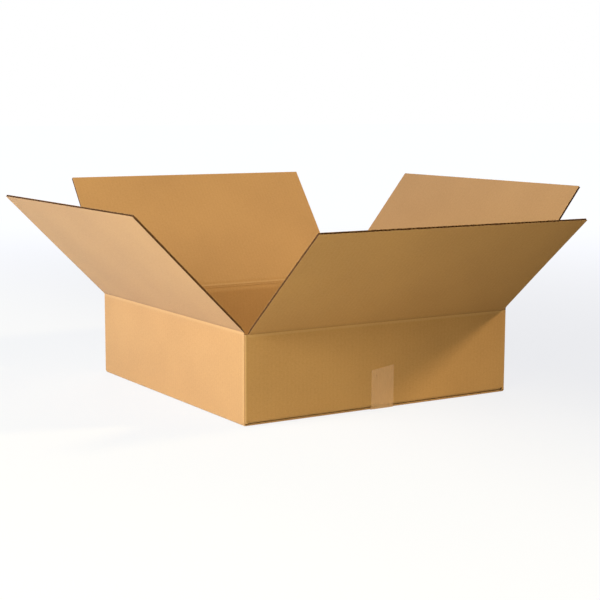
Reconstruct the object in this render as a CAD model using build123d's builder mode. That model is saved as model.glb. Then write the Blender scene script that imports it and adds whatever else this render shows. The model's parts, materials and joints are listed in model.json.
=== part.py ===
from build123d import *
from math import cos, radians, sin
import os

# An open shipping carton, set up and taped underneath, with its four top flaps standing open.
# Origin: centre of the base, on the floor. The front wall faces -Y, the left wall faces -X.
# The left and right walls carry the major flaps, which close last, above and below.

# Driving dimensions, millimetres and degrees
inside_x = 558.8
inside_y = 558.8
inside_depth = 152.4
board = 4.0
liner = 0.45
medium = 0.4
medium_web = 0.6
flute_pitch = 7.8
flute_crest = 1.4
crush_width = 7.0
layer_gap = 0.3
score_gap = 0.15
slot_gap = 0.3
seam_gap = 1.0
fold_radius = 5.0
major_setback = 1.5
minor_setback = 8.0
slot_overcut = 0.5
tab_width = 35.0
tab_taper = 8.0
tab_clearance = 2.0
tab_fold_radius = 3.5
tape_width = 48.0
tape_gauge = 0.1
tail_height = 74.0
tail_skew = 7.0
tooth_pitch = 2.4
tooth_depth = 0.9
left_open_angle = 45.0
right_open_angle = 39.0
front_open_angle = 49.5
back_open_angle = 37.5

# Places worked out from them
half_x = inside_x / 2 + board
half_y = inside_y / 2 + board
layer = board + layer_gap
major_low = tape_gauge
minor_low = major_low + layer
minor_high = minor_low + inside_depth
major_high = minor_high + layer
slot_low = minor_low + slot_overcut
slot_high = minor_high - slot_overcut
major_half = half_y - major_setback
minor_half = half_x - minor_setback


def panel_profile(outer, low, high):
    """One wall and its bottom flap as a folded strip: outward from the middle, and up."""
    with BuildSketch() as profile:
        with BuildLine():
            Polyline(
                (outer, low + fold_radius),
                (outer, high - score_gap),
                (outer - board, high - score_gap - board),
                (outer - board, low + board),
                (seam_gap / 2, low + board),
                (seam_gap / 2, low),
                (outer - fold_radius, low),
            )
            RadiusArc((outer - fold_radius, low), (outer, low + fold_radius), -fold_radius)
        make_face()
    return profile.sketch


def flute_channels(width):
    """The air between the liners and the wavy medium: keystones, wide side on alternate liners."""
    depth = board - 2 * liner - medium
    lean = medium / depth
    wide = (flute_pitch - 2 * medium_web - flute_crest * (1 + lean)) / (1 - lean)
    count = round(2 * width / flute_pitch)
    centres = [(width * (i / count - 0.5), 0) for i in range(count + 1)]
    outer_channel = [
        (-wide / 2, liner),
        (-flute_crest / 2, liner + depth),
        (flute_crest / 2, liner + depth),
        (wide / 2, liner),
    ]
    inner_channel = [(x, board - y) for x, y in reversed(outer_channel)]
    with BuildSketch() as channels:
        with Locations(*centres[::2]):
            Polygon(*outer_channel, align=None)
        with Locations(*centres[1::2]):
            Polygon(*inner_channel, align=None)
    return channels.sketch


# The carton body: one sheet, folded into four walls and closed underneath by its bottom flaps
with BuildPart() as carton_body:
    # Left and right walls with the outer bottom flaps
    for facing in (1, -1):
        with BuildSketch(Plane(origin=(0, 0, 0), x_dir=(facing, 0, 0), z_dir=(0, -facing, 0))):
            add(panel_profile(half_x, major_low, major_high))
        extrude(amount=major_half, both=True)
    # Front and back walls with the inner bottom flaps, one layer further in at both ends
    for facing in (1, -1):
        with BuildSketch(Plane(origin=(0, 0, 0), x_dir=(0, facing, 0), z_dir=(facing, 0, 0))):
            add(panel_profile(half_y, minor_low, minor_high))
        extrude(amount=minor_half, both=True)
    # The upright corners between the slots
    with BuildSketch(Plane.XY.offset(slot_low)):
        Rectangle(2 * half_x, 2 * half_y)
        Rectangle(inside_x, inside_y, mode=Mode.SUBTRACT)
        Rectangle(2 * minor_half, 2 * half_y, mode=Mode.SUBTRACT)
        with GridLocations(inside_x + board, 0, 2, 1):
            Rectangle(board, 2 * major_half, mode=Mode.SUBTRACT)
        with Locations((half_x, half_y)):
            Rectangle(2 * board, 2 * major_setback, mode=Mode.SUBTRACT)
    extrude(amount=slot_high - slot_low)
    # Rounded upright folds at three corners
    with BuildSketch(Plane.XY):
        Rectangle(2 * half_x, 2 * half_y)
        RectangleRounded(2 * half_x, 2 * half_y, fold_radius, mode=Mode.SUBTRACT)
        with Locations((half_x, half_y)):
            Rectangle(2 * fold_radius, 2 * fold_radius, mode=Mode.SUBTRACT)
    extrude(amount=major_high, mode=Mode.SUBTRACT)
    # The fourth corner is the glued joint: the back wall turns in behind the right wall's cut edge
    with BuildSketch(Plane.XY):
        with Locations((half_x - board, half_y)):
            Rectangle(tab_fold_radius, tab_fold_radius, align=(Align.MAX, Align.MAX))
        with Locations((half_x - board - tab_fold_radius, half_y - tab_fold_radius)):
            Circle(tab_fold_radius, mode=Mode.SUBTRACT)
    extrude(amount=major_high, mode=Mode.SUBTRACT)
    with BuildSketch(Plane(origin=(inside_x / 2, inside_y / 2, 0), x_dir=(0, -1, 0), z_dir=(-1, 0, 0))):
        tab_low = minor_low + board + tab_clearance
        tab_high = minor_high - board - tab_clearance
        with BuildLine():
            Polyline(
                (0, tab_low),
                (tab_width, tab_low + tab_taper),
                (tab_width, tab_high - tab_taper),
                (0, tab_high),
                close=True,
            )
        make_face()
    extrude(amount=board)
carton_body.part.label = "carton_body"


# The tape under the seam of the outer bottom flaps, with a tail up the front and the back wall
def taut_outline(away):
    """The carton's section along the seam as a taut tape sees it, grown by a distance."""
    with BuildSketch() as outline:
        with BuildLine():
            Line((-major_half, major_low), (major_half, major_low))
            Line((-half_y, tail_height + tape_width), (half_y, tail_height + tape_width))
            CenterArc((half_y - fold_radius, minor_low + fold_radius), fold_radius, -90, 90)
            CenterArc((fold_radius - half_y, minor_low + fold_radius), fold_radius, 180, 90)
        make_hull()
        if away:
            offset(amount=away)
    return outline.sketch


with BuildPart() as bottom_tape:
    with BuildSketch(Plane.YZ):
        add(taut_outline(tape_gauge))
        add(taut_outline(0), mode=Mode.SUBTRACT)
    extrude(amount=tape_width / 2, both=True)
    # Both tails are torn off on a slant by a toothed blade
    teeth = round(tape_width / tooth_pitch)
    for facing in (1, -1):
        with BuildSketch(Plane(origin=(0, 0, 0), x_dir=(-facing, 0, 0), z_dir=(0, facing, 0))):
            edge = []
            for i in range(2 * teeth + 1):
                along = tape_width * (i / (2 * teeth) - 0.5)
                edge.append((along, tail_height + tail_skew * along / tape_width + tooth_depth * (i % 2)))
            high = tail_height + 2 * tape_width
            with BuildLine():
                Polyline(*edge, (tape_width / 2, high), (-tape_width / 2, high), close=True)
            make_face()
        extrude(amount=half_y + board, mode=Mode.SUBTRACT)
bottom_tape.part.label = "bottom_tape"


# The four top flaps, each hinged on its wall's top score and open by its own angle from upright
def flap_plane(outward, reach, height, opening):
    """Across the flap at its score: x along the score, y through the board from its outer face."""
    tilt = radians(opening)
    out_x, out_y = outward
    return Plane(
        origin=(out_x * reach, out_y * reach, height),
        x_dir=(-out_y, out_x, 0),
        z_dir=(out_x * sin(tilt), out_y * sin(tilt), cos(tilt)),
    )


def make_flap(name, outward, reach, height, half_width, opening):
    length = reach - seam_gap / 2
    across = flap_plane(outward, reach, height, opening)
    width = 2 * (half_width - slot_gap)
    with BuildPart() as flap:
        with BuildSketch(Plane(origin=across.origin, x_dir=across.y_dir, z_dir=across.x_dir)):
            with BuildLine():
                Polyline(
                    (0, score_gap),
                    (0, length),
                    (board, length),
                    (board, score_gap + board),
                    close=True,
                )
            make_face()
        extrude(amount=width / 2, both=True)
        with BuildSketch(across.offset(length)):
            add(flute_channels(width))
        extrude(amount=-(length - score_gap - board - crush_width), mode=Mode.SUBTRACT)
    flap.part.label = name
    return flap


left_flap = make_flap("left_flap", (-1, 0), half_x, major_high, major_half, left_open_angle)
right_flap = make_flap("right_flap", (1, 0), half_x, major_high, major_half, right_open_angle)
front_flap = make_flap("front_flap", (0, -1), half_y, minor_high, minor_half, front_open_angle)
back_flap = make_flap("back_flap", (0, 1), half_y, minor_high, minor_half, back_open_angle)

os.makedirs("parts", exist_ok=True)
for piece in (carton_body, bottom_tape, left_flap, right_flap, front_flap, back_flap):
    export_step(piece.part, f"parts/{piece.part.label}.step")
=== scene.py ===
import json
from math import cos, pi, radians, sin

import bpy
import numpy as np
from mathutils import Matrix, Vector


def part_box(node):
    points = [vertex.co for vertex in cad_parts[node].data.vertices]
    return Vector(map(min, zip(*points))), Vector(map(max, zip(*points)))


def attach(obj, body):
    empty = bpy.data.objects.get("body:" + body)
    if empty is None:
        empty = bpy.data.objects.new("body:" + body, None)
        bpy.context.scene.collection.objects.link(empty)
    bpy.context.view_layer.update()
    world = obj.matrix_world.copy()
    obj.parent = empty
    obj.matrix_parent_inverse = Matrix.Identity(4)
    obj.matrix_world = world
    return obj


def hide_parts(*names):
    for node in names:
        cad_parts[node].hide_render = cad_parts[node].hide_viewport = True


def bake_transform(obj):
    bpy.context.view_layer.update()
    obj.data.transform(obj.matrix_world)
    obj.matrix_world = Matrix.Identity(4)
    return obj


# An open shipping carton: a ring of corrugated walls, folded and taped underneath, with four hinged top flaps
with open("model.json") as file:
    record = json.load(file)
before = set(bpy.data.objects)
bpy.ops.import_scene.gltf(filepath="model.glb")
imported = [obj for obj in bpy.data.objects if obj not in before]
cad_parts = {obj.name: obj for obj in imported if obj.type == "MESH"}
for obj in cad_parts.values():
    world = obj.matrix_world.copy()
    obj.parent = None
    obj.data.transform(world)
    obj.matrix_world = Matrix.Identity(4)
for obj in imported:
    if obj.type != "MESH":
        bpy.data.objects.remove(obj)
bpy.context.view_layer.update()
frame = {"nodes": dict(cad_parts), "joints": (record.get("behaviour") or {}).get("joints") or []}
mm = 0.001

# The camera stands low in front of the near corner, a little to the left of the box
camera = {
    "place": (-1.410, -2.259, 0.536),
    "turn": 32.03,     # degrees to the right of straight back
    "dip": 8.02,       # degrees below level
    "roll": 0.21,      # degrees
    "lens": 83.2,      # mm
    "sensor": 36,      # mm wide
}


def makeCamera():
    turn, dip, roll = radians(camera["turn"]), radians(camera["dip"]), radians(camera["roll"])
    ahead = Vector((sin(turn) * cos(dip), cos(turn) * cos(dip), -sin(dip)))
    right = Vector((cos(turn), -sin(turn), 0))
    upright = right.cross(ahead)
    across = right * cos(roll) + upright * sin(roll)
    upward = upright * cos(roll) - right * sin(roll)
    data = bpy.data.cameras.new("camera")
    data.lens, data.sensor_width = camera["lens"], camera["sensor"]
    view = bpy.data.objects.new("camera", data)
    bpy.context.scene.collection.objects.link(view)
    axes = Matrix((across, upward, -ahead)).transposed().to_4x4()
    view.matrix_world = Matrix.Translation(camera["place"]) @ axes
    bpy.context.scene.camera = view


makeCamera()
print("camera placed")


# Materials. They read two attributes of the board's points:
# sheet is the place across and along the sheet, and the layer it is on;
# rims is the distance to the nearest cut edge and to the nearest fold, and 1 on a top flap.
layerNumber = {"outer": 0.0, "medium": 0.5, "inner": 1.0}


class Signal:
    # An output socket: arithmetic on it adds Math nodes to its recipe
    def __init__(self, recipe, socket):
        self.recipe, self.socket = recipe, socket

    def __add__(self, other):
        return self.recipe.maths("ADD", self, other)

    def __sub__(self, other):
        return self.recipe.maths("SUBTRACT", self, other)

    def __rsub__(self, other):
        return self.recipe.maths("SUBTRACT", other, self)

    def __mul__(self, other):
        return self.recipe.maths("MULTIPLY", self, other)

    __radd__, __rmul__ = __add__, __mul__


class Recipe:
    # The nodes of a material, or of the surround, and the shader that they lead to
    def __init__(self, owner, constants, shader="Principled BSDF"):
        self.owner = owner
        owner.use_nodes = True
        self.tree = owner.node_tree
        self.shader = self.tree.nodes[shader]
        for socket, value in constants.items():
            self.shader.inputs[socket].default_value = value

    def node(self, kind, settings, inputs, output=0):
        made = self.tree.nodes.new(kind)
        for name, value in settings.items():
            setattr(made, name, value)
        for key, value in inputs.items():
            if isinstance(value, Signal):
                self.tree.links.new(value.socket, made.inputs[key])
            else:
                made.inputs[key].default_value = value
        return Signal(self, made.outputs[output])

    def drive(self, socket, signal):
        self.tree.links.new(signal.socket, self.shader.inputs[socket])

    def maths(self, operation, *values):
        return self.node("ShaderNodeMath", {"operation": operation}, dict(enumerate(values)))

    def attribute(self, name):
        return self.node("ShaderNodeAttribute", {"attribute_name": name}, {}, "Vector")

    def objectPlace(self):
        return self.node("ShaderNodeTexCoord", {}, {}, "Object")

    def parts(self, vector):
        return [self.node("ShaderNodeSeparateXYZ", {}, {0: vector}, axis) for axis in "XYZ"]

    def noise(self, vector, scale, detail, roughness=0.5, stretch=None):
        if stretch:
            vector = self.node("ShaderNodeVectorMath", {"operation": "MULTIPLY"}, {0: vector, 1: stretch})
        return self.node("ShaderNodeTexNoise", {"noise_dimensions": "3D"},
                         {"Vector": vector, "Scale": scale, "Detail": detail, "Roughness": roughness}, "Fac")

    def smooth(self, value, low, high):
        # 0 below low, 1 above high, a smooth step between
        return self.node("ShaderNodeMapRange", {"interpolation_type": "SMOOTHSTEP"},
                         {"Value": value, "From Min": low, "From Max": high}, "Result")

    def mix(self, factor, low, high):
        return self.node("ShaderNodeMix", {"data_type": "RGBA"}, {0: factor, 6: low, 7: high}, 2)

    def bump(self, height, strength, distance):
        return self.node("ShaderNodeBump", {}, {"Height": height, "Strength": strength, "Distance": distance},
                         "Normal")


kraft = {
    "shader": {"Specular IOR Level": 0.35, "Sheen Weight": 0.12, "Sheen Roughness": 0.6},
    "colour": (0.465, 0.256, 0.086, 1),
    "deep": (0.31, 0.157, 0.046, 1),         # dense fibres, flecks and soft shade
    "pale": (0.58, 0.38, 0.17, 1),           # worn paper, and a painted highlight beside a fold
    "dark": (0.17, 0.078, 0.022, 1),         # painted shade: the dark line in a fold
    "layers": {                              # patterns in the paper, from coarse to fine
        "clouds": {"scale": 7, "detail": 3},
        "formation": {"stretch": (1.6, 1, 40), "scale": 210, "detail": 3, "roughness": 0.6},
        "fibres": {"stretch": (130, 900, 40), "scale": 1, "detail": 3, "roughness": 0.55},
    },
    "tone": {"clouds": 0.5, "formation": 0.42, "fibres": 0.5},     # share of each layer in it
    "toneRange": (-0.28, 0.34),              # of their sum, from the colour to the deep one
    "bands": 0.025,                          # share of the stripe over each flute tip
    "bandPitch": 7.8 * mm,
    "calm": 0.48,                            # how far the tone is drawn back to the plain colour
    "flecks": {"stretch": (240, 700, 90), "scale": 1, "detail": 1, "roughness": 0.4},
    "fleckRange": (0.66, 0.76),
    "fleckShare": 0.5,
    "besideRange": (1 * mm, 10 * mm),        # from a fold, on the outside of a flap
    "besideShare": 0.4,
    "foldShadeRange": (0.6 * mm, 2.7 * mm),
    "foldShadeShare": 0.9,
    "foldShadeInside": 0.1,                       # what is left of that on the inner face
    "highlightRange": (2.0 * mm, 3.4 * mm, 7 * mm),     # from a fold: where it begins, is whole and has gone
    "highlightShare": 0.3,
    "wornRange": (0.2 * mm, 1.4 * mm),       # from a cut edge
    "wornPatches": (0.35, 0.6),              # of the formation
    "wornShare": 0.6,
    "roughness": 0.72,
    "roughnessOf": {"formation": 0.25, "fibres": 0.12},            # how far it swings with each layer
    "relief": {"formation": 0.5, "fibres": 0.5, "clouds": 0.3},
    "bump": (0.35, 0.25 * mm),               # strength and distance
}


def kraftLiner():
    # The tone is a weighted sum of the paper's layers, each less its mean of a half, and of a cosine stripe
    # across the flutes. Over it lie flecks, painted soft shade outside a flap's fold, a dark line of painted
    # shade in a fold, a paler band of painted highlight beside a fold, and the worn line along a cut edge.
    paint = Recipe(bpy.data.materials.new("kraftLiner"), kraft["shader"])
    sheet = paint.attribute("sheet")
    across, _, layer = paint.parts(sheet)
    cutEdge, crease, onFlap = paint.parts(paint.attribute("rims"))
    starts = {"clouds": paint.objectPlace(), "formation": sheet, "fibres": sheet}
    layers = {name: paint.noise(starts[name], **values) for name, values in kraft["layers"].items()}
    stripe = paint.maths("COSINE", across * (2 * pi / kraft["bandPitch"]) + layer * pi)
    tone = sum((layers[name] - 0.5) * part for name, part in kraft["tone"].items()) + stripe * kraft["bands"]
    body = paint.mix(paint.smooth(tone, *kraft["toneRange"]), kraft["colour"], kraft["deep"])
    calmed = paint.mix(kraft["calm"], body, kraft["colour"])
    flecks = paint.smooth(paint.noise(sheet, **kraft["flecks"]), *kraft["fleckRange"])
    flecked = paint.mix(flecks * kraft["fleckShare"], calmed, kraft["deep"])
    beside = (1 - paint.smooth(crease, *kraft["besideRange"])) * onFlap * (1 - layer)
    shaded = paint.mix(beside * kraft["besideShare"], flecked, kraft["deep"])
    # painted shade: a dark line along each fold, nearly all of it on the outer face
    foldShade = (1 - paint.smooth(crease, *kraft["foldShadeRange"])) * (1 - layer * (1 - kraft["foldShadeInside"]))
    folded = paint.mix(foldShade * kraft["foldShadeShare"], shaded, kraft["dark"])
    # painted highlight: a paler band beside a fold, on the inside of a flap and on the outside of a wall
    begins, whole, gone = kraft["highlightRange"]
    foldHighlight = paint.smooth(crease, begins, whole) * (1 - paint.smooth(crease, whole, gone))
    foldHighlight = foldHighlight * paint.maths("COMPARE", onFlap, layer, 0.5)
    highlighted = paint.mix(foldHighlight * kraft["highlightShare"], folded, kraft["pale"])
    patches = paint.smooth(layers["formation"], *kraft["wornPatches"])
    worn = (1 - paint.smooth(cutEdge, *kraft["wornRange"])) * patches * kraft["wornShare"]
    paint.drive("Base Color", paint.mix(worn, highlighted, kraft["pale"]))
    rough = sum((layers[name] - 0.5) * part for name, part in kraft["roughnessOf"].items())
    paint.drive("Roughness", rough + kraft["roughness"])
    relief = sum(layers[name] * part for name, part in kraft["relief"].items())
    paint.drive("Normal", paint.bump(relief, *kraft["bump"]))
    return paint.owner


edges = {
    "shader": {"Specular IOR Level": 0.2},
    "edgeLooks": {
        # painted shade: browns far darker than the paper, for the open flutes
        "rawEdge": {"colour": (0.165, 0.074, 0.027, 1), "deep": (0.048, 0.02, 0.008, 1),
                    "end": (0.42, 0.235, 0.09, 1), "roughness": 0.9},
        # painted light: paler than the paper, as this edge lies in shade at a wall's foot
        "pressedEdge": {"colour": (0.60, 0.34, 0.13, 1), "deep": (0.42, 0.22, 0.075, 1),
                        "end": (0.60, 0.34, 0.13, 1), "roughness": 0.85},
    },
    "torn": {"scale": 900, "detail": 4, "roughness": 0.7},
    "clumps": {"scale": 160, "detail": 2},
    "clumpShare": 0.6,                       # beside the torn fibres
    "deepRange": (0.55, 1.05),               # of torn and clumps together
    "endRange": (281.9 * mm, 282.7 * mm),    # along a flap, where its free edge shows the flute ends
    "endPatches": (0.35, 0.6),               # of the clumps
    "roughnessOf": 0.1,                      # how far it swings with the torn fibres
    "bump": (0.6, 0.3 * mm),
}


def boardEdge(name):
    # Torn fibres on cut edges and on the medium: fine and coarse noise between two browns, with paler liners
    # at a flap's free edge. The raw edge's browns are painted shade, far darker than the paper; the pressed
    # edge's are painted light, paler than the paper, since that edge lies in shade at a wall's foot.
    look = edges["edgeLooks"][name]
    paint = Recipe(bpy.data.materials.new(name), edges["shader"])
    _, along, layer = paint.parts(paint.attribute("sheet"))
    place = paint.objectPlace()
    torn, clumps = paint.noise(place, **edges["torn"]), paint.noise(place, **edges["clumps"])
    fibrous = paint.smooth(torn + clumps * edges["clumpShare"], *edges["deepRange"])
    colour = paint.mix(fibrous, look["colour"], look["deep"])
    onLiner = 1 - paint.maths("COMPARE", layer, layerNumber["medium"], 0.2)
    atEnd = paint.smooth(along, *edges["endRange"]) * onLiner * paint.smooth(clumps, *edges["endPatches"])
    paint.drive("Base Color", paint.mix(atEnd, colour, look["end"]))
    paint.drive("Roughness", (torn - 0.5) * edges["roughnessOf"] + look["roughness"])
    paint.drive("Normal", paint.bump(torn, *edges["bump"]))
    return paint.owner


tape = {
    "shader": {"Base Color": (0.82, 0.53, 0.31, 1), "Specular IOR Level": 0.35, "IOR": 1.48},
    "streaks": {"stretch": (400, 60, 60), "scale": 1, "detail": 3, "roughness": 0.6},
    "streakRange": (0.3, 0.8),
    "bubbles": {"scale": 260, "detail": 2},
    "bubbleShare": 0.3,                      # in the relief, beside the streaks
    "cover": 0.4,                            # how much of the board it hides
    "coverOf": 0.06,                         # how far that swings with the streaks
    "roughness": 0.42,
    "roughnessOf": 0.1,                      # how far it swings with the bubbles
    "bump": (0.025, 0.05 * mm),
}


def packingTape():
    # A thin film: it hides less than half of the board, a little more in streaks, and is rougher at bubbles
    paint = Recipe(bpy.data.materials.new("packingTape"), tape["shader"])
    place = paint.objectPlace()
    streaks, bubbles = paint.noise(place, **tape["streaks"]), paint.noise(place, **tape["bubbles"])
    milky = paint.smooth(streaks, *tape["streakRange"])
    paint.drive("Alpha", (milky - 0.5) * tape["coverOf"] + tape["cover"])
    paint.drive("Roughness", (bubbles - 0.5) * tape["roughnessOf"] + tape["roughness"])
    paint.drive("Normal", paint.bump(streaks + bubbles * tape["bubbleShare"], *tape["bump"]))
    return paint.owner


kraftMaterial, tapeMaterial = kraftLiner(), packingTape()
rawMaterial, pressedMaterial = boardEdge("rawEdge"), boardEdge("pressedEdge")
print("materials made")


# Meshes from grids
up = np.array([0.0, 0.0, 1.0])
noRim = 1.0     # m, the distance that stands for no cut edge or fold nearby


def smoothStep(x):
    # 0 below 0, 1 above 1, x squared times (3 - 2 x) between
    x = np.clip(x, 0, 1)
    return x * x * (3 - 2 * x)


def stacked(*values):
    # Values spread over their common grid and put side by side, as the coordinates of each point
    return np.stack(np.broadcast_arrays(*values), -1)


def travel(line):
    # The distance travelled along a line, at each of its points
    return np.concatenate([[0], np.cumsum(np.linalg.norm(np.diff(line, axis=0), axis=1))])


def closedSheet(top, bottom, rims, sheet, surfaces, under=(0, 0, 0)):
    # A slab between two grids of points: quads over both, and a wall of quads round the border.
    # under is what the sheet coordinates gain on the bottom.
    # surfaces gives the material of the top, the bottom and the border.
    rows, cols, _ = top.shape
    count = rows * cols
    i, j = np.meshgrid(np.arange(rows - 1), np.arange(cols - 1), indexing="ij")
    a = (i * cols + j).ravel()
    over = np.stack([a, a + 1, a + cols + 1, a + cols], -1)
    loop = np.concatenate([np.arange(cols), np.arange(1, rows) * cols + cols - 1,
                           (rows - 1) * cols + np.arange(cols - 2, -1, -1),
                           np.arange(rows - 2, 0, -1) * cols])
    after = np.roll(loop, -1)
    border = np.stack([after, loop, loop + count, after + count], -1)
    faces = np.concatenate([over, over[:, ::-1] + count, border])
    # faces point outwards: where the top's own turn looks at the bottom, they are reversed
    row, col = rows // 2, cols // 2
    ahead, aside = top[row, col] - top[row - 1, col], top[row, col] - top[row, col - 1]
    if np.dot(np.cross(aside, ahead), top[row, col] - bottom[row, col]) < 0:
        faces = faces[:, ::-1]
    return {"points": np.concatenate([top.reshape(-1, 3), bottom.reshape(-1, 3)]),
            "faces": faces,
            "kinds": np.repeat(surfaces, [len(over), len(over), len(border)]),
            "rims": np.tile(rims.reshape(-1, 3), (2, 1)),
            "sheet": np.concatenate([sheet.reshape(-1, 3), sheet.reshape(-1, 3) + under])}


def makePiece(name, sheets, materials, sharp=32):
    # One object from closed sheets, with rims and sheet as attributes; an edge over sharp degrees is hard
    starts = np.cumsum([0] + [len(s["points"]) for s in sheets[:-1]])
    points = np.concatenate([s["points"] for s in sheets])
    faces = np.concatenate([s["faces"] + start for s, start in zip(sheets, starts)])
    kinds = np.concatenate([s["kinds"] for s in sheets])
    mesh = bpy.data.meshes.new(name)
    mesh.vertices.add(len(points))
    mesh.vertices.foreach_set("co", points.astype(np.float32).ravel())
    mesh.loops.add(faces.size)
    mesh.loops.foreach_set("vertex_index", faces.astype(np.int32).ravel())
    mesh.polygons.add(len(faces))
    mesh.polygons.foreach_set("loop_start", np.arange(0, faces.size, 4, dtype=np.int32))
    mesh.polygons.foreach_set("material_index", kinds.astype(np.int32))
    mesh.update(calc_edges=True)
    for key in ("rims", "sheet"):
        values = np.concatenate([s[key] for s in sheets]).astype(np.float32)
        mesh.attributes.new(key, "FLOAT_VECTOR", "POINT").data.foreach_set("vector", values.ravel())
    for material in materials:
        mesh.materials.append(material)
    mesh.shade_smooth()
    mesh.set_sharp_from_angle(angle=radians(sharp))
    piece = bpy.data.objects.new(name, mesh)
    bpy.context.scene.collection.objects.link(piece)
    return piece


# The board: two liners and the wavy medium glued between them
board = {
    "thickness": 4.0 * mm,
    "liner": 0.45 * mm,
    "medium": 0.4 * mm,
    "pitch": 7.8 * mm,
    "dip": 0.05 * mm,                        # how far a liner sinks between the flute tips
    "linerColumns": 4,                       # for each flute
    "mediumColumns": 10,
    "edgeColumns": np.array([0.4, 1.4, 3]) * mm,     # extra ones, in from a flap's side edge
    "innerGrain": (3.1, 1.7),                # from the outer liner's place in the paper to the inner one's
    "seamGap": 1.0 * mm,                     # between two flaps that meet
}


def corrugate(shape, span, rows, mediumRows, cuts=()):
    # Depth through the board, from its outer face: a liner is a slab under each face, sunk by dip between the
    # flute tips, times the third power of the thickness there over the full thickness. The medium's middle is
    # half the thickness plus its free height times the cosine of the place in the flute, and it is as much
    # thicker through the board as it is steep. It lies on the inner liner at the start of the span.
    width = span[1] - span[0]
    flutes = round(2 * width / board["pitch"]) / 2
    wave = 2 * pi * flutes / width
    liner, medium = board["liner"], board["medium"]

    def section(columns, rowsHere):
        # Both faces at even columns and at the cuts, the direction through the board and its thickness there
        at = np.unique(np.concatenate([np.linspace(*span, round(flutes * board[columns]) + 1), cuts]))
        outer, inner, rims, along = shape(at, rowsHere)
        thick = np.linalg.norm(inner - outer, axis=-1, keepdims=True)
        phase = (wave * (at - span[0]))[None, :, None]
        return outer, inner, rims, stacked(at[None, :], along, 0.0), (inner - outer) / thick, thick, phase

    outer, inner, rims, sheet, through, thick, phase = section("linerColumns", rows)
    roomy = np.clip(thick / board["thickness"], 0, 1) ** 3 * board["dip"]
    outerSkin = outer + through * roomy * (0.5 + 0.5 * np.cos(phase))
    innerSkin = inner - through * roomy * (0.5 - 0.5 * np.cos(phase))
    innerSheet = sheet + (*board["innerGrain"], layerNumber["inner"])
    slabs = [closedSheet(outerSkin, outer + through * liner, rims, sheet, (0, 1, 1)),
             closedSheet(innerSkin, inner - through * liner, rims, innerSheet, (0, 1, 1))]

    outer, inner, rims, sheet, through, thick, phase = section("mediumColumns", mediumRows)
    free = np.maximum(thick / 2 - liner - medium / 2, 0)
    steep = np.sqrt(1 + (free * wave * np.sin(phase)) ** 2)
    middle = outer + through * (thick / 2 + free * np.cos(phase))
    half = through * np.minimum(medium / 2 * steep, thick / 2)
    mediumSheet = sheet + (0, 0, layerNumber["medium"])
    slabs.append(closedSheet(middle - half, middle + half, rims, mediumSheet, (1, 1, 1)))
    return slabs


def corrugateFlap(shape, half, rows, mediumRows):
    # A flap's span is even about its middle, with the extra columns beside both side edges
    cuts = half - board["edgeColumns"]
    return corrugate(shape, (-half, half), rows, mediumRows, np.concatenate([-cuts, cuts]))


# The four sides: the frame gives each one's fold, height and flap
outward = {"left": (-1, 0), "right": (1, 0), "front": (0, -1), "back": (0, 1)}
fullyOpen = 120     # degrees from upright at which each flap's joint stops
fold = {
    "neck": 2.05 * mm,     # thickness of the board where the score has crushed it
    "start": 2.15 * mm,    # where the inner liner meets the fold, along the panel
    "gap": 0.15 * mm,      # where the outer liner meets it
    "mitre": 4.0 * mm,     # length over which the outer face falls back in step with the inner one
    "crush": 9.0 * mm,     # length over which the board comes back to full thickness
}


def readSide(name):
    joint = next(j for j in frame["joints"] if j["name"] == name + "_fold")
    out = np.array([*outward[name], 0.0])
    aside = np.array([-out[1], out[0], 0.0])
    place = np.array(joint["pos_m"])
    reach, height = float(np.abs(place @ out)), float(place[2])
    flapCorner = np.array(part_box(name + "_flap")[1])
    return {"name": name, "out": out, "aside": aside, "reach": reach, "height": height,
            "origin": out * reach + up * height, "opening": radians(fullyOpen - joint["range_deg"][1]),
            "half": float(np.abs(flapCorner @ aside)), "length": reach - board["seamGap"] / 2}


sides = {name: readSide(name) for name in outward}


def crushProfile(s):
    # Along a panel from its score: thickness rises smoothly from the crushed neck to the full board,
    # and the outer face starts nearer the fold than the inner one, so that the end is mitred
    neck, start = fold["neck"], fold["start"]
    thickness = neck + (board["thickness"] - neck) * smoothStep((s - start) / fold["crush"])
    outerAt = s - (start - fold["gap"]) * (1 - smoothStep((s - start) / fold["mitre"]))
    return outerAt, thickness


flap = {
    "rows": np.array([0, 1.2, 2.8, 5, 7.5, 10, 14, 30, 60, 100, 140, 180, 220, 250, 268, 276]) * mm,
    "lastRows": np.array([3, 1, 0]) * mm,    # back from the free edge
    "mediumRows": (0, 3, 5, 6, 7, 9, 11, 13, 15, 18),
    "bow": {"left": -0.5 * mm, "right": -0.4 * mm, "front": 0.7 * mm, "back": 0.6 * mm},   # inward
    "bowSwing": 0.3,                         # share of the bow that comes and goes across the flap
    "bowPhase": {"left": 0.4, "right": 2.6, "front": 1.3, "back": 4.4},
}


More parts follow.
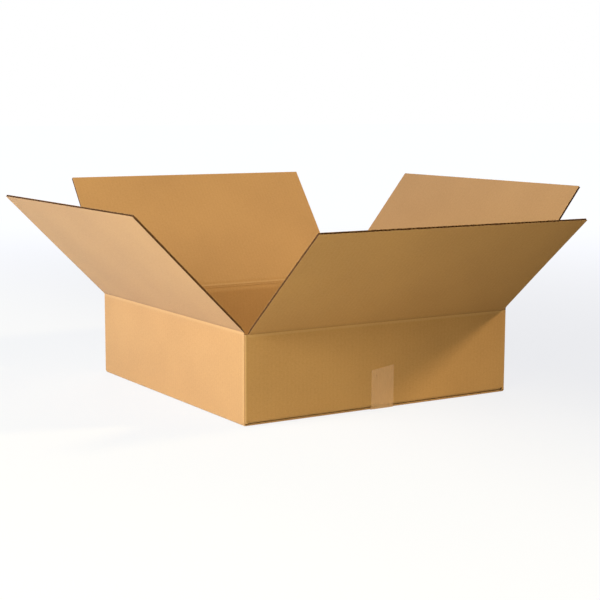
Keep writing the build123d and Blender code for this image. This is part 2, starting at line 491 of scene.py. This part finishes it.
def makeFlap(side):
    # A point is s along the flap from its fold, and on the inner face the board's thickness inward; the flap
    # leans outward by its opening. It bows by a squared sine along it and a cosine across it, the upper pair
    # outward, so that they still lie on the lower pair when shut.
    name, half, length, tilt = side["name"], side["half"], side["length"], side["opening"]
    along = side["out"] * sin(tilt) + up * cos(tilt)
    inward = up * sin(tilt) - side["out"] * cos(tilt)
    allRows = np.concatenate([fold["start"] + flap["rows"], length - flap["lastRows"]])

    def shape(across, rows):
        s = allRows[list(rows)][:, None]
        outerAt, thickness = crushProfile(s)
        swing = flap["bowSwing"] * np.cos(pi * across[None, :] / half + flap["bowPhase"][name])
        bow = flap["bow"][name] * np.sin(pi * s / length) ** 2 * (1 - flap["bowSwing"] + swing)
        base = side["origin"] + side["aside"] * across[None, :, None] + inward * bow[..., None]
        outer = base + along * outerAt[..., None]
        inner = base + along * s[..., None] + inward * thickness[..., None]
        cutEdge = np.minimum(half - np.abs(across)[None, :], length - s)
        return outer, inner, stacked(cutEdge, s, 1.0), np.broadcast_to(s, cutEdge.shape)

    slabs = corrugateFlap(shape, half, range(len(allRows)), flap["mediumRows"])
    piece = makePiece(name + "FlapBoard", slabs, [kraftMaterial, rawMaterial])
    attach(piece, name + "_flap")
    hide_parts(name + "_flap")


for side in sides.values():
    makeFlap(side)
print("flaps made")


# The skin of each top fold, a curved wedge between the wall and the flap
hinge = {
    "rows": 7,
    "columns": 24,
    "overlap": 1.01,       # how far it reaches into the necks, as a factor
    "dip": 0.6,            # share of its distance from the axis that the inner liner loses in the middle
    "lip": 0.35 * mm,      # how far the outer crease runs along the wall and the flap
    "under": 0.03 * mm,    # how far it lies under their faces
    "grain": 4.0 * mm,     # its length in the paper's pattern
    "sharp": 60,           # degrees
}


def makeHinge(side):
    # Section about the fold's axis: the outer crease is a short bend at the axis; the inner liner goes from
    # the wall's neck to the flap's at equal angles, its distance dipping towards the axis by a squared sine.
    tilt, half = side["opening"], side["half"]
    share = np.linspace(0, 1, hinge["rows"])
    # angles turn from level outward towards upright; each neck is an eighth of a turn inside its outer face
    startAngle, endAngle = pi * 5 / 4, pi / 2 - tilt + pi / 4
    angle = startAngle + (endAngle - startAngle) * share
    radius = float(np.hypot(fold["start"], fold["neck"])) * hinge["overlap"]
    distance = radius * (1 - hinge["dip"] * np.sin(pi * share) ** 2)
    inner = stacked(distance * np.cos(angle), distance * np.sin(angle))
    lip, under = hinge["lip"], hinge["under"]
    outerX = np.interp(share, [0, 0.5, 1], [-under, -under, lip * sin(tilt) - under * cos(tilt)])
    outerZ = np.interp(share, [0, 0.5, 1], [-lip, 0, lip * cos(tilt) + under * sin(tilt)])
    across = np.linspace(-half, half, hinge["columns"])

    def grid(section):
        return (side["origin"] + side["aside"] * across[None, :, None] + side["out"] * section[:, None, :1]
                + up * section[:, None, 1:])

    rims = stacked((half - np.abs(across))[None, :], 0 * share[:, None], 0.0)
    sheet = stacked(across[None, :], share[:, None] * hinge["grain"], layerNumber["outer"])
    skin = closedSheet(grid(stacked(outerX, outerZ)), grid(inner), rims, sheet, (0, 0, 1),
                       (0, 0, layerNumber["inner"]))
    piece = makePiece(side["name"] + "Fold", [skin], [kraftMaterial, rawMaterial], hinge["sharp"])
    middle = (startAngle + endAngle) / 2
    chord = (side["out"] * sin(middle) - up * cos(middle)) * (radius * sin((startAngle - endAngle) / 2))
    side["name"] + "_flap"
    tuple(side["origin"] - chord)
    tuple(side["origin"] + chord)
    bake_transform(piece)


for side in sides.values():
    makeHinge(side)
print("folds made")


# The ring of walls, one sheet folded round three corners and glued at the fourth
ring = {
    "foldRadius": 5.0 * mm,
    "innerRadius": 1.5 * mm,
    "tabFoldRadius": 3.5 * mm,
    "tabInnerRadius": 0.25 * mm,
    "tabWidth": 35.0 * mm,
    "tabTaper": 8.0 * mm,
    "tabClearance": 2.0 * mm,
    "slotOvercut": 0.5 * mm,
    "slotStep": 0.004 * mm,                  # half the width over which the sheet steps down at a slot
    "setback": {"major": 1.5 * mm, "minor": 8.0 * mm},
    "arcSteps": 8,
    "rows": np.array([0, 1.2, 2.8, 5, 7.5, 10, 14, 50, 100]) * mm,       # down from the fold
    "lastRows": np.array([12, 3, 0]) * mm,   # up from the foot
    "mediumRows": (0, 4, 6, 7, 9, 11),
    "evenDepth": 30.0 * mm,                  # depth at which a corner's rows come level with a wall's
    "cornerCrease": 1.3 * mm,                # a corner is painted as if this much further from its fold
}
wallX, wallY = sides["right"]["reach"], sides["front"]["reach"]
majorHigh, minorHigh = sides["right"]["height"], sides["front"]["height"]
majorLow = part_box("carton_body")[0].z
minorLow = majorLow + majorHigh - minorHigh
majorHalf, minorHalf = wallY - ring["setback"]["major"], wallX - ring["setback"]["minor"]


def arc(centre, radius, fromAngle, toAngle):
    # Points on an arc in plan, from one angle to another in degrees
    angle = np.radians(np.linspace(fromAngle, toAngle, ring["arcSteps"] + 1))
    return stacked(centre[0] + radius * np.cos(angle), centre[1] + radius * np.sin(angle))


def wallPlan():
    # The outer and inner faces in plan as matching lines, from the right wall's raw edge round to the end of
    # the glue tab: an arc at each corner, and a point at each end of the front and back flaps
    r, rIn = ring["foldRadius"], ring["innerRadius"]
    rTab, rTabIn = ring["tabFoldRadius"], ring["tabInnerRadius"]
    t = board["thickness"]
    x, y, xIn, yIn = wallX - r, wallY - r, wallX - t - rIn, wallY - t - rIn
    tabEnd = wallY - t - ring["tabWidth"]
    outer = [[(wallX, majorHalf)],
             arc((x, -y), r, 0, -90), [(minorHalf, -wallY), (-minorHalf, -wallY)],
             arc((-x, -y), r, -90, -180),
             arc((-x, y), r, 180, 90), [(-minorHalf, wallY), (minorHalf, wallY)],
             arc((wallX - t - rTab, wallY - rTab), rTab, 90, 0), [(wallX - t, tabEnd)]]
    inner = [[(wallX - t, majorHalf)],
             arc((xIn, -yIn), rIn, 0, -90), [(minorHalf, t - wallY), (-minorHalf, t - wallY)],
             arc((-xIn, -yIn), rIn, -90, -180),
             arc((-xIn, yIn), rIn, 180, 90), [(-minorHalf, wallY - t), (wallX - 2 * t - rTabIn, wallY - t)],
             arc((wallX - 2 * t - rTabIn, wallY - t - rTabIn), rTabIn, 90, 0), [(wallX - 2 * t, tabEnd)]]
    return np.concatenate(outer), np.concatenate(inner)


def makeWalls():
    # A point is across, as travelled along the outer face in plan, and s down from its part's top. Each part
    # of the plan runs between its own low and high level, and steps at the slots.
    outerPlan, innerPlan = wallPlan()
    travelled = travel(outerPlan)
    r, t, steps = ring["foldRadius"], board["thickness"], ring["arcSteps"]
    # each corner's first point in the plan
    cornerFirst = np.array([1, steps + 4, 2 * steps + 5, 3 * steps + 8])
    cornerStart, cornerEnd = travelled[cornerFirst], travelled[cornerFirst + steps]
    bend = (cornerStart + cornerEnd) / 2
    # a side flap ends part of the way round the corner's arc, and a front or back flap before it
    turned = r * np.arcsin((majorHalf - (wallY - r)) / r)
    setIn, setInTab = wallX - r - minorHalf, wallX - t - ring["tabFoldRadius"] - minorHalf
    tabStart = cornerEnd[3] + t - ring["tabFoldRadius"]
    breaks = np.array([cornerStart[0] + turned, cornerEnd[0] + setIn,
                       cornerStart[1] - setIn, cornerEnd[1] - turned,
                       cornerStart[2] + turned, cornerEnd[2] + setIn,
                       cornerStart[3] - setInTab, tabStart])
    kindOf = np.array([0, 2, 1, 2, 0, 2, 1, 2, 3])     # 0 side wall, 1 front or back wall, 2 corner, 3 tab
    slotLow, slotHigh = minorLow + ring["slotOvercut"], minorHigh - ring["slotOvercut"]
    tabLow, tabHigh = minorLow + t + ring["tabClearance"], minorHigh - t - ring["tabClearance"]

    def shape(across, rows):
        kind = kindOf[np.searchsorted(breaks, across)]
        taper = ring["tabTaper"] * np.clip((across - tabStart) / ring["tabWidth"], 0, 1)
        top = np.choose(kind, [majorHigh, minorHigh, slotHigh, tabHigh]) - np.where(kind == 3, taper, 0)
        low = np.choose(kind, [majorLow + r, minorLow + r, slotLow, tabLow]) + np.where(kind == 3, taper, 0)
        panel = (kind < 2)[None, :]
        s = np.concatenate([fold["start"] + ring["rows"][:, None] + 0 * across[None, :],
                            (top - low)[None, :] - ring["lastRows"][:, None]])[list(rows)]
        outerAt, thickness = crushProfile(s)
        # a corner and the tab are cut square at their own top, without the crushed end of a panel
        plain = s - fold["start"] * (1 - smoothStep(s / ring["evenDepth"]))
        outerZ = top[None, :] - np.where(panel, outerAt, plain)
        innerZ = top[None, :] - np.where(panel, s, plain)
        outerXy, innerXy = (stacked(*(np.interp(across, travelled, plan[:, axis]) for axis in (0, 1)))[None]
                            for plan in (outerPlan, innerPlan))
        innerXy = outerXy + (innerXy - outerXy) * np.where(panel, thickness / t, 1.0)[..., None]
        # where a side wall turns its corner it is cut lower by as much as it lies further in, on the mitre
        turning = (kind == 0)[None, :] * (1 - smoothStep((s - fold["start"]) / fold["crush"]))
        outerZ = outerZ - turning * (wallX - np.abs(outerXy[..., 0]))
        innerZ = innerZ - turning * (wallX - thickness - np.abs(innerXy[..., 0]))
        outer = stacked(outerXy[..., 0], outerXy[..., 1], outerZ)
        inner = stacked(innerXy[..., 0], innerXy[..., 1], innerZ)
        toCorner = np.abs(across[:, None] - bend[None, :]).min(1) + ring["cornerCrease"]
        crease = np.minimum(np.where(panel, s, noRim), toCorner[None, :])
        toEnd = np.minimum(across, travelled[-1] - across)
        cutEdge = np.minimum(np.where(panel, noRim, plain), toEnd[None, :])
        return outer, inner, stacked(cutEdge, crease, 0.0), outerZ

    cuts = np.concatenate([travelled, breaks - ring["slotStep"], breaks + ring["slotStep"]])
    everyRow = range(len(ring["rows"]) + len(ring["lastRows"]))
    slabs = corrugate(shape, (0, travelled[-1]), everyRow, ring["mediumRows"], cuts)
    piece = makePiece("cartonWalls", slabs, [kraftMaterial, rawMaterial])
    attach(piece, "carton")
    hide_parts("carton_body")


makeWalls()
print("walls made")


# The bottom flaps, each folded in from the foot of its wall
bottom = {
    "innerRadius": 1.5 * mm,
    "rows": np.array([4, 12, 60, 120, 180, 230, 262, 270, 273, 274.2]) * mm,   # from the fold to the seam
    "pressed": 0.55,       # share of the thickness that the slotting knife has taken from the side edges
    "pressedWidth": 4.5 * mm,
    "crease": 3.0 * mm,    # the bend counts as this far from a fold: no painted shade, faint painted highlight
}


def makeBottomFlap(side, low, half):
    # Outward and height of both faces: round the fold by quarter arcs, then level to the seam. Near the side
    # edges both faces draw together by a smooth step.
    r, rIn, t, reach = ring["foldRadius"], bottom["innerRadius"], board["thickness"], side["reach"]
    level = reach - r - np.concatenate([bottom["rows"], [reach - r - board["seamGap"] / 2]])

    def profile(radius, height, middle):
        # middle is how far out the arc's centre is
        angle = np.linspace(0, pi / 2, ring["arcSteps"] + 1)
        bent = stacked(middle + radius * np.cos(angle), height + radius - radius * np.sin(angle))
        return np.concatenate([bent, stacked(level, height)])

    outerLine, innerLine = profile(r, low, reach - r), profile(rIn, low + t, reach - t - rIn)
    travelled = travel(outerLine)
    bend = r * pi / 4

    def shape(across, rows):
        rows = list(rows)
        outer, inner = (side["out"] * line[rows][:, None, :1] + up * line[rows][:, None, 1:]
                        + side["aside"] * across[None, :, None] for line in (outerLine, innerLine))
        along = np.broadcast_to(travelled[rows][:, None], outer.shape[:2])
        fromSide = half - np.abs(across)[None, :]
        squeeze = (bottom["pressed"] / 2 * (1 - smoothStep(fromSide / bottom["pressedWidth"])))[..., None]
        outer, inner = outer + (inner - outer) * squeeze, inner + (outer - inner) * squeeze
        cutEdge = np.minimum(fromSide, travelled[-1] - along)
        return outer, inner, stacked(cutEdge, np.abs(along - bend) + bottom["crease"], 0.0), along

    everyRow = range(len(travelled))
    slabs = corrugateFlap(shape, half, everyRow, everyRow)
    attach(makePiece(side["name"] + "BottomFlap", slabs, [kraftMaterial, pressedMaterial]), "carton")


for name, side in sides.items():
    major = name in ("left", "right")
    makeBottomFlap(side, majorLow if major else minorLow, majorHalf if major else minorHalf)
print("bottom made")


# The tape keeps its solid from the frame
tapeNode = frame["nodes"]["bottom_tape"]
tapeNode.data.materials.clear()
tapeNode.data.materials.append(tapeMaterial)


# The studio: a pale floor, a white surround and soft lamps
studio = {
    "floor": 60.0,                           # m across
    "floorShader": {"Roughness": 0.9, "Specular IOR Level": 0.2},
    "floorColour": (0.76, 0.74, 0.54, 1),    # warm, as it colours the light from below
    "farColour": (0.20, 0.18, 0.12, 1),      # to the right, so that less light comes back from there
    "shade": (-0.25, 0.6),                   # m from left to right, between which the one runs into the other
    "white": {"Color": (0.97, 0.985, 1.03, 1), "Strength": 1.02},
    "whiteShare": (0.8, 1.0),                # of what the camera sees of the floor, near and far
    "whiteRange": (0.5, 4.0),                # m from the carton's middle, from near to far
    "surround": 1.0,                         # as the camera sees it
    "fill": 0.06,                            # as it lights the carton
    "aim": (0, 0, 0.15),
    "lamps": {
        "key": {"place": (-2.5, -1.7, 1.5), "size": 1.5, "power": 94, "colour": (1, 0.98, 0.77)},
        "leftFill": {"place": (-4.2, 0.6, 1.3), "size": 2.0, "power": 210, "colour": (0.64, 0.68, 1)},
        "rightWarm": {"place": (2.9, -2.4, 3.5), "size": 0.6, "power": 172, "colour": (1, 0.81, 0.52)},
        "backFill": {"place": (2.4, 3.8, 1.6), "size": 2.4, "power": 90, "colour": (0.92, 0.96, 1)},
    },
}


def makeFloor():
    # A flat square. The camera sees it mixed with white, and far away it runs into the white surround.
    half = studio["floor"] / 2
    mesh = bpy.data.meshes.new("floor")
    corners = [(-half, -half, 0), (half, -half, 0), (half, half, 0), (-half, half, 0)]
    mesh.from_pydata(corners, [], [(0, 1, 2, 3)])
    paint = Recipe(bpy.data.materials.new("floor"), studio["floorShader"])
    place = paint.objectPlace()
    toRight = paint.smooth(paint.parts(place)[0], *studio["shade"])
    paint.drive("Base Color", paint.mix(toRight, studio["floorColour"], studio["farColour"]))
    away = paint.node("ShaderNodeVectorMath", {"operation": "LENGTH"}, {0: place}, "Value")
    near, far = studio["whiteShare"]
    seen = paint.node("ShaderNodeLightPath", {}, {}, "Is Camera Ray")
    share = seen * (paint.smooth(away, *studio["whiteRange"]) * (far - near) + near)
    white = paint.node("ShaderNodeEmission", {}, studio["white"], "Emission")
    lit = Signal(paint, paint.shader.outputs["BSDF"])
    blend = paint.node("ShaderNodeMixShader", {}, {0: share, 1: lit, 2: white}, "Shader")
    paint.tree.links.new(blend.socket, paint.tree.nodes["Material Output"].inputs["Surface"])
    mesh.materials.append(paint.owner)
    floor = bpy.data.objects.new("floor", mesh)
    bpy.context.scene.collection.objects.link(floor)


def makeLamp(name, lamp):
    # A square area lamp that faces the middle of the carton
    data = bpy.data.lights.new(name, "AREA")
    data.size, data.energy, data.color = lamp["size"], lamp["power"], lamp["colour"]
    light = bpy.data.objects.new(name, data)
    bpy.context.scene.collection.objects.link(light)
    toward = Vector(studio["aim"]) - Vector(lamp["place"])
    turn = toward.to_track_quat("-Z", "Y").to_matrix().to_4x4()
    light.matrix_world = Matrix.Translation(lamp["place"]) @ turn


def makeSurround():
    # White to look at, dimmer as light
    world = bpy.data.worlds.new("surround")
    bpy.context.scene.world = world
    paint = Recipe(world, {"Color": (1, 1, 1, 1)}, "Background")
    seen = paint.node("ShaderNodeLightPath", {}, {}, "Is Camera Ray")
    paint.drive("Strength", seen * (studio["surround"] - studio["fill"]) + studio["fill"])


makeFloor()
for name, lamp in studio["lamps"].items():
    makeLamp(name, lamp)
makeSurround()
bpy.context.scene.view_settings.view_transform = "Standard"
print("studio made")
